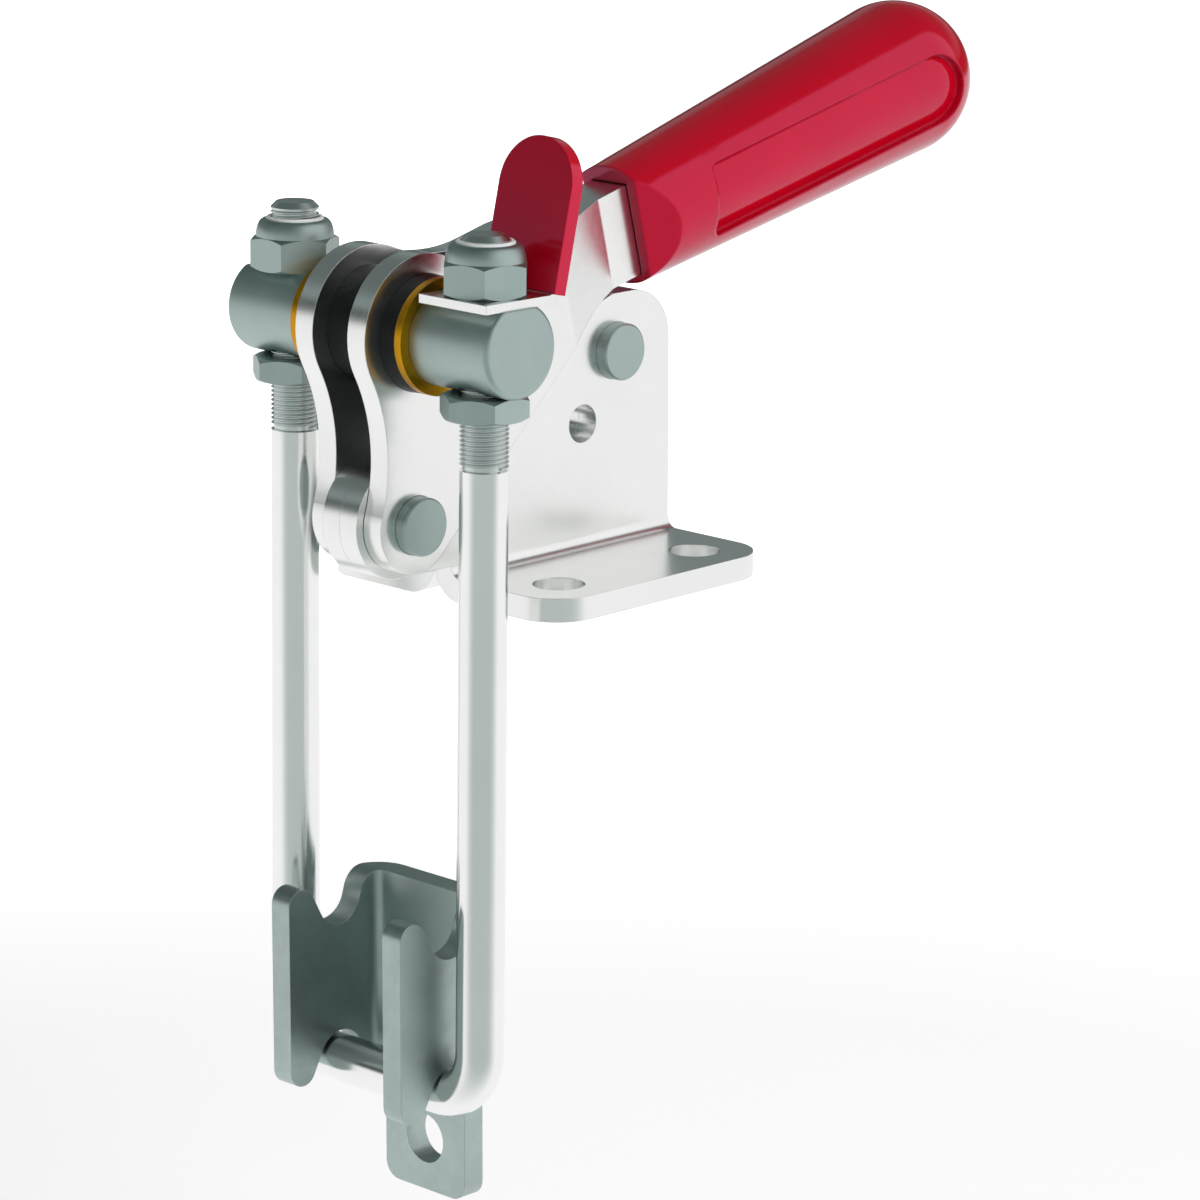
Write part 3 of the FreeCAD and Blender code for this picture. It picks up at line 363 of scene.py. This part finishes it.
def rolled_thread(side):
    """The ridge of one stud's thread: a small tooth swept up a helix."""
    turns = int((stud_top - tip_chamfer - tip_band - thread_foot) / thread_pitch) - 1
    tooth_middle = (rod_radius + thread_root - tooth_bite) / 2
    bpy.ops.object.select_all(action="DESELECT")
    bpy.ops.mesh.primitive_plane_add(
        size=1, rotation=(math.pi / 2, 0, 0), location=(tooth_middle, 0, 0)
    )
    tooth = bpy.context.object
    tooth.scale = (rod_radius - thread_root + tooth_bite, thread_pitch * tooth_fill, 1)
    bpy.ops.object.transform_apply(location=True, rotation=True, scale=True)
    bpy.ops.object.mode_set(mode="EDIT")
    bpy.ops.mesh.delete(type="ONLY_FACE")
    bpy.ops.object.mode_set(mode="OBJECT")
    for corner in tooth.data.vertices:
        if corner.co.x > tooth_middle:
            corner.co.z *= tooth_crest
    sweep = tooth.modifiers.new("helix", "SCREW")
    sweep.axis = "Z"
    sweep.angle = 2 * math.pi
    sweep.screw_offset = thread_pitch
    sweep.iterations = turns
    sweep.steps = rod_sides
    sweep.render_steps = rod_sides
    sweep.use_smooth_shade = True
    bpy.ops.object.modifier_apply(modifier=sweep.name)
    bpy.ops.object.mode_set(mode="EDIT")
    bpy.ops.mesh.select_all(action="SELECT")
    bpy.ops.mesh.fill_holes(sides=4)
    bpy.ops.mesh.select_all(action="SELECT")
    bpy.ops.mesh.normals_make_consistent(inside=False)
    bpy.ops.object.mode_set(mode="OBJECT")
    tooth.location = (side * leg_place, 0, thread_foot + thread_runout + thread_pitch / 2)
    bpy.ops.object.transform_apply(location=True, rotation=True, scale=True)
    return tooth


threads = [rolled_thread(side) for side in (-1, 1)]
bpy.ops.object.select_all(action="DESELECT")
for piece in threads + [u_bolt]:
    piece.select_set(True)
bpy.context.view_layer.objects.active = u_bolt
bpy.ops.object.join()
u_bolt.location = trunnion_centre + Matrix.Rotation(-rod_lean, 3, "X") @ Vector(u_bolt.location)
u_bolt.rotation_euler = (-rod_lean, 0, 0)
bpy.ops.object.transform_apply(location=True, rotation=True, scale=True)
bpy.ops.object.shade_smooth_by_angle(angle=smooth_angle)

rod_roughness = (0.17, 0.2)
# The threaded ends are painted a darker grey than the rod. This is painted shade for the dark
# reflections between the thread's teeth.
thread_painted_shade = (0.66, 0.71, 0.7, 1.0)
thread_roughness = 0.32
rod_cloud_scale = 120.0
rod_grain_size = (500.0, 500.0, 60.0)
rod_grain_detail = 2.0
rod_grain_depth = 0.0000001


def mixed(nodes, links, share, low, high):
    """A colour from low to high, each of them a tone or a socket, by a share of 0 to 1."""
    tones = nodes.new("ShaderNodeMix")
    tones.data_type = "RGBA"
    for tone, socket in ((low, tones.inputs[6]), (high, tones.inputs[7])):
        if isinstance(tone, tuple):
            socket.default_value = tone
        else:
            links.new(tone, socket)
    links.new(share, tones.inputs["Factor"])
    return tones.outputs[2]


rod_zinc, nodes, links, shader, place = new_finish("bright_zinc_rod")
clouds = blotches(nodes, links, place, rod_cloud_scale)
drawn = stretched(nodes, links, place, rod_grain_size)
grain = blotches(nodes, links, drawn, 1.0, rod_grain_detail)
height = nodes.new("ShaderNodeSeparateXYZ")
links.new(place, height.inputs["Vector"])
threaded = nodes.new("ShaderNodeMath")
threaded.operation = "GREATER_THAN"
threaded.inputs[1].default_value = trunnion_centre.z + thread_foot + thread_runout
links.new(height.outputs["Z"], threaded.inputs[0])
rod_tone = tint(nodes, links, clouds, zinc_shade, zinc_light)
# Above the thread's foot the rod takes the painted shade of the thread.
rod_tone = mixed(nodes, links, threaded.outputs["Value"], rod_tone, thread_painted_shade)
links.new(rod_tone, shader.inputs["Base Color"])
polish = nodes.new("ShaderNodeMix")
polish.inputs["B"].default_value = thread_roughness
links.new(threaded.outputs["Value"], polish.inputs["Factor"])
links.new(spread(nodes, links, grain, *rod_roughness), polish.inputs["A"])
links.new(polish.outputs["Result"], shader.inputs["Roughness"])
shader.inputs["Metallic"].default_value = 1.0
relief(nodes, links, shader, grain, rod_grain_depth, None)
u_bolt.data.materials.append(rod_zinc)
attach(u_bolt, "u_bolt_set")
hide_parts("u_bolt")


# Nuts
# A domed locknut holds the trunnion on each leg, and a thin nut locks it from below. They are
# cold formed from steel and plated grey. A nylon ring under the locknut's top grips the thread.

nut_sides = 96
nut_across_flats = 0.013
nut_across_corners = nut_across_flats / math.cos(math.pi / 6)
nut_edge = 0.0006
nut_bore = rod_radius + 0.00003
nut_same_point = 0.000002
nut_hex_height = 0.0055
nut_height = 0.0083
dome_steps = 8
dome_foot_radius = 0.00645
dome_top_radius = 0.0051
ring_radius = 0.00478
ring_foot = 0.0064
ring_rise = 0.00042
ring_round = 0.00022
ring_gap = 0.00002
nut_seats = {"left": 0.00665, "right": 0.00815}
nut_turns = {"left": 0.0, "right": math.radians(14)}
leg_sides = {"left": -1, "right": 1}


def lathe(name, profile):
    """A ring turned from a closed half profile of radius and height pairs."""
    radius, height = profile[0]
    bpy.ops.object.select_all(action="DESELECT")
    bpy.ops.mesh.primitive_circle_add(vertices=nut_sides, radius=radius, location=(0, 0, height))
    ring = bpy.context.object
    ring.name = name
    bpy.ops.object.transform_apply(location=True, rotation=True, scale=True)
    bpy.ops.object.mode_set(mode="EDIT")
    bpy.ops.mesh.select_all(action="SELECT")
    for new_radius, new_height in profile[1:]:
        draw_out(0, new_height - height)
        step_in(radius, new_radius)
        radius, height = new_radius, new_height
    bpy.ops.mesh.select_all(action="DESELECT")
    bpy.ops.mesh.select_non_manifold()
    bpy.ops.mesh.bridge_edge_loops()
    bpy.ops.mesh.select_all(action="SELECT")
    bpy.ops.mesh.normals_make_consistent(inside=False)
    bpy.ops.object.mode_set(mode="OBJECT")
    return ring


def mill_flats(nut, turn):
    """Cuts the nut down to a hexagon where it is wider than its flats."""
    bpy.ops.object.select_all(action="DESELECT")
    bpy.ops.mesh.primitive_cylinder_add(
        vertices=6, radius=nut_across_corners / 2, depth=3 * nut_height,
        rotation=(0, 0, math.pi / 6 + turn)
    )
    hexagon = bpy.context.object
    mill = nut.modifiers.new("flats", "BOOLEAN")
    mill.operation = "INTERSECT"
    mill.solver = "EXACT"
    mill.object = hexagon
    bpy.context.view_layer.objects.active = nut
    bpy.ops.object.modifier_apply(modifier=mill.name)
    bpy.data.objects.remove(hexagon)
    nut.select_set(True)
    bpy.ops.object.mode_set(mode="EDIT")
    bpy.ops.mesh.select_all(action="SELECT")
    bpy.ops.mesh.remove_doubles(threshold=nut_same_point)
    bpy.ops.object.mode_set(mode="OBJECT")


def seat_on_leg(piece, side_name, finish, node_name):
    """Sets a turned piece on its leg above the trunnion, in place of a CAD node."""
    place = Vector((leg_sides[side_name] * leg_place, 0, nut_seats[side_name]))
    bpy.ops.object.select_all(action="DESELECT")
    piece.select_set(True)
    bpy.context.view_layer.objects.active = piece
    piece.location = trunnion_centre + Matrix.Rotation(-rod_lean, 3, "X") @ place
    piece.rotation_euler = (-rod_lean, 0, 0)
    bpy.ops.object.transform_apply(location=True, rotation=True, scale=True)
    bpy.ops.object.shade_smooth_by_angle(angle=smooth_angle)
    piece.data.materials.append(finish)
    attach(piece, "u_bolt_set")
    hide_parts(node_name)


dome = []
for step in range(dome_steps + 1):
    turn = math.radians(90) * step / dome_steps
    dome.append((
        dome_top_radius + (dome_foot_radius - dome_top_radius) * math.cos(turn),
        nut_hex_height + (nut_height - nut_hex_height) * math.sin(turn),
    ))
nut_profile = [
    (nut_bore, nut_edge),
    (nut_bore + nut_edge, 0),
    (nut_across_flats / 2, 0),
    (nut_across_corners / 2, nut_edge),
    (nut_across_corners / 2, nut_hex_height - nut_edge),
    *dome,
    (ring_radius + ring_gap, nut_height),
    (ring_radius + ring_gap, ring_foot),
    (nut_bore, ring_foot),
]
ring_top = nut_height + ring_rise
ring_profile = [
    (nut_bore, ring_foot + ring_gap),
    (ring_radius, ring_foot + ring_gap),
    (ring_radius, ring_top - ring_round),
    (ring_radius - ring_round, ring_top),
    (nut_bore + ring_round / 2, ring_top),
    (nut_bore, ring_top - ring_round / 2),
]

nut_roughness = (0.44, 0.5)
nut_cloud_scale = 240.0
nut_edge_radius = 0.0001
nylon_light = (0.82, 0.85, 0.84, 1.0)
nylon_shade = (0.74, 0.78, 0.77, 1.0)
nylon_roughness = (0.45, 0.6)
nylon_cloud_scale = 400.0

nut_finish, nodes, links, shader, place = new_finish("nut_satin")
clouds = blotches(nodes, links, place, nut_cloud_scale)
links.new(tint(nodes, links, clouds, satin_shade, satin_light), shader.inputs["Base Color"])
links.new(spread(nodes, links, clouds, *nut_roughness), shader.inputs["Roughness"])
shader.inputs["Metallic"].default_value = 1.0
relief(nodes, links, shader, clouds, turning_depth, nut_edge_radius)

nylon, nodes, links, shader, place = new_finish("ring_nylon")
clouds = blotches(nodes, links, place, nylon_cloud_scale)
links.new(tint(nodes, links, clouds, nylon_shade, nylon_light), shader.inputs["Base Color"])
links.new(spread(nodes, links, clouds, *nylon_roughness), shader.inputs["Roughness"])
relief(nodes, links, shader, clouds, turning_depth, None)

for side in ("left", "right"):
    give("jam_nut_" + side, nut_finish)
    locknut = lathe("domed_locknut_" + side, nut_profile)
    mill_flats(locknut, nut_turns[side])
    seat_on_leg(locknut, side, nut_finish, "locknut_" + side)
    ring = lathe("nylon_ring_" + side, ring_profile)
    seat_on_leg(ring, side, nylon, "locknut_insert_" + side)


# Thumb lever
# A strip of zinc plated steel, clamped under the right locknut and bent up behind it. Its
# upright part is dipped in the grip's red vinyl.

coating_edge_radius = 0.0003

give("thumb_lever", bright_zinc)
give("thumb_lever_coating", red_vinyl_finish("coating_vinyl", coating_edge_radius))


# Latch plate
# The catch that the U-bolt pulls on, screwed to the moving part of the work. It is pressed
# from 4 mm sheet, bent to a channel with notched arms, and plated a dull grey.

latch_light = (0.44, 0.525, 0.515, 1.0)
latch_shade = (0.4, 0.475, 0.465, 1.0)
latch_roughness = (0.38, 0.46)
latch_cloud_scale = 130.0

latch_finish, nodes, links, shader, place = new_finish("latch_grey")
clouds = blotches(nodes, links, place, latch_cloud_scale)
brushed = stretched(nodes, links, place, plate_grain_size)
grain = blotches(nodes, links, brushed, 1.0, plate_grain_detail)
links.new(tint(nodes, links, clouds, latch_shade, latch_light), shader.inputs["Base Color"])
links.new(spread(nodes, links, grain, *latch_roughness), shader.inputs["Roughness"])
shader.inputs["Metallic"].default_value = 1.0
relief(nodes, links, shader, grain, plate_grain_depth, plate_edge_radius)
give("latch_plate", latch_finish)


# Studio
# The clamp hangs above a white floor that lies below the lowest reach of the opened U-bolt. Two
# broad lamps light it, and its metal mirrors a white room with a grey side and a dim ceiling.

floor_drop = 0.0605
floor_size = 6.0
floor_cells = 8
floor_white = (0.8, 0.8, 0.8, 1.0)
floor_roughness = 0.9
floor_glow = (0.44, 1.0)
glow_reach = (0.3, 1.0)
white = (1.0, 1.0, 1.0, 1.0)
room_grey = (0.5, 0.555, 0.535, 1.0)
room_side = (0.69, -0.72, 0.0)
grey_fade = (0.22, 0.82)
room_rise = (0.0, 0.13, 1.0)
room_tones = (
    (0.0, white),
    (0.1, (0.08, 0.1, 0.097, 1.0)),
    (0.26, (0.045, 0.056, 0.054, 1.0)),
    (0.33, (0.25, 0.305, 0.295, 1.0)),
    (0.42, (0.25, 0.305, 0.295, 1.0)),
    (0.58, (0.12, 0.148, 0.142, 1.0)),
)
window_side = (0.86, 0.4, 0.32)
window_fade = (0.71, 0.76)
ambient = 0.24

bpy.ops.object.select_all(action="DESELECT")
bpy.ops.mesh.primitive_grid_add(
    x_subdivisions=floor_cells, y_subdivisions=floor_cells, size=floor_size,
    location=(0, 0, cad_box[0][2] - floor_drop)
)
floor = bpy.context.object
floor.name = "studio_floor"
bpy.ops.object.transform_apply(location=True, rotation=True, scale=True)
floor_paint, nodes, links, shader, place = new_finish("floor_paint")
shader.inputs["Base Color"].default_value = floor_white
shader.inputs["Roughness"].default_value = floor_roughness
shader.inputs["Specular IOR Level"].default_value = 0.0
shader.inputs["Emission Color"].default_value = white
rays = nodes.new("ShaderNodeLightPath")


def any_ray(nodes, links, rays, kinds):
    """One where the ray is of any of these kinds."""
    value = rays.outputs[kinds[0]]
    for kind in kinds[1:]:
        either = nodes.new("ShaderNodeMath")
        either.operation = "MAXIMUM"
        links.new(value, either.inputs[0])
        links.new(rays.outputs[kind], either.inputs[1])
        value = either.outputs["Value"]
    return value


def towards(nodes, links, direction, side):
    """How far a direction points to a side of the room."""
    product = nodes.new("ShaderNodeVectorMath")
    product.operation = "DOT_PRODUCT"
    product.inputs[1].default_value = side
    links.new(direction, product.inputs[0])
    return product.outputs["Value"]


def fade(nodes, links, value, limits, low, high):
    """A tone that turns smoothly from low to high while the value goes between two limits."""
    steps = nodes.new("ShaderNodeMapRange")
    steps.interpolation_type = "SMOOTHSTEP"
    steps.inputs["From Min"].default_value, steps.inputs["From Max"].default_value = limits
    links.new(value, steps.inputs["Value"])
    return mixed(nodes, links, steps.outputs["Result"], low, high)


distance = nodes.new("ShaderNodeVectorMath")
distance.operation = "LENGTH"
links.new(place, distance.inputs[0])
glow = nodes.new("ShaderNodeMapRange")
glow.inputs["From Min"].default_value, glow.inputs["From Max"].default_value = glow_reach
glow.inputs["To Min"].default_value, glow.inputs["To Max"].default_value = floor_glow
links.new(distance.outputs["Value"], glow.inputs["Value"])
seen = nodes.new("ShaderNodeMath")
seen.operation = "MULTIPLY"
links.new(any_ray(nodes, links, rays, ("Is Camera Ray", "Is Transmission Ray")), seen.inputs[0])
links.new(glow.outputs["Result"], seen.inputs[1])
links.new(seen.outputs["Value"], shader.inputs["Emission Strength"])
away = nodes.new("ShaderNodeVectorMath")
away.operation = "NORMALIZE"
links.new(place, away.inputs[0])
facing = towards(nodes, links, away.outputs["Vector"], room_side)
mirrored = nodes.new("ShaderNodeEmission")
links.new(fade(nodes, links, facing, grey_fade, white, room_grey), mirrored.inputs["Color"])
choice = nodes.new("ShaderNodeMixShader")
links.new(rays.outputs["Is Glossy Ray"], choice.inputs["Fac"])
links.new(shader.outputs["BSDF"], choice.inputs[1])
links.new(mirrored.outputs["Emission"], choice.inputs[2])
links.new(choice.outputs["Shader"], nodes["Material Output"].inputs["Surface"])
floor.data.materials.append(floor_paint)

world = bpy.data.worlds.new("studio_world")
bpy.context.scene.world = world
world.use_nodes = True
nodes = world.node_tree.nodes
links = world.node_tree.links
background = nodes["Background"]
rays = nodes.new("ShaderNodeLightPath")
sky = nodes.new("ShaderNodeTexCoord").outputs["Generated"]
room = nodes.new("ShaderNodeValToRGB")
while len(room.color_ramp.elements) < len(room_tones):
    room.color_ramp.elements.new(1.0)
for stop, (height, tone) in zip(room.color_ramp.elements, room_tones):
    stop.position = height
    stop.color = tone
links.new(towards(nodes, links, sky, room_rise), room.inputs["Fac"])
facing = towards(nodes, links, sky, window_side)
lit_room = fade(nodes, links, facing, window_fade, room.outputs["Color"], white)
seen_room = mixed(nodes, links, rays.outputs["Is Glossy Ray"], white, lit_room)
links.new(seen_room, background.inputs["Color"])
strength = nodes.new("ShaderNodeMapRange")
strength.inputs["To Min"].default_value = ambient
kinds = ("Is Camera Ray", "Is Glossy Ray", "Is Transmission Ray")
links.new(any_ray(nodes, links, rays, kinds), strength.inputs["Value"])
links.new(strength.outputs["Result"], background.inputs["Strength"])


def softbox(name, place, power, size):
    """A square lamp that faces the clamp."""
    data = bpy.data.lights.new(name, "AREA")
    data.energy = power
    data.size = size
    lamp = bpy.data.objects.new(name, data)
    lamp.location = place
    lamp.visible_glossy = False
    lamp.rotation_euler = (Vector((0, 0, 0)) - Vector(place)).to_track_quat("-Z", "Y").to_euler()
    bpy.context.scene.collection.objects.link(lamp)


key_place = (1.19, -0.1, 0.5)
key_power = 14.0
key_size = 1.0
fill_place = (-1.1, 0.5, 0.35)
fill_power = 7.0
fill_size = 1.2

softbox("key_lamp", key_place, key_power, key_size)
softbox("fill_lamp", fill_place, fill_power, fill_size)

view_turn = math.radians(43.98)
view_rise = math.radians(14.255)
view_roll = math.radians(0.16)
lens_length = 145.7
sensor_width = 36.0
near_clip = 0.01
camera_place = Vector((0.5607, -0.5676, 0.1976))

back = Vector((
    math.sin(view_turn) * math.cos(view_rise),
    -math.cos(view_turn) * math.cos(view_rise),
    math.sin(view_rise),
))
level = Vector((math.cos(view_turn), math.sin(view_turn), 0))
upright = back.cross(level)
across = math.cos(view_roll) * level + math.sin(view_roll) * upright
upwards = math.cos(view_roll) * upright - math.sin(view_roll) * level
camera_data = bpy.data.cameras.new("photo_camera")
camera_data.lens = lens_length
camera_data.sensor_width = sensor_width
camera_data.clip_start = near_clip
camera = bpy.data.objects.new("photo_camera", camera_data)
view_axes = Matrix((across, upwards, back)).transposed().to_4x4()
camera.matrix_world = Matrix.Translation(camera_place) @ view_axes
bpy.context.scene.collection.objects.link(camera)
bpy.context.scene.camera = camera

bpy.context.scene.view_settings.view_transform = "Standard"
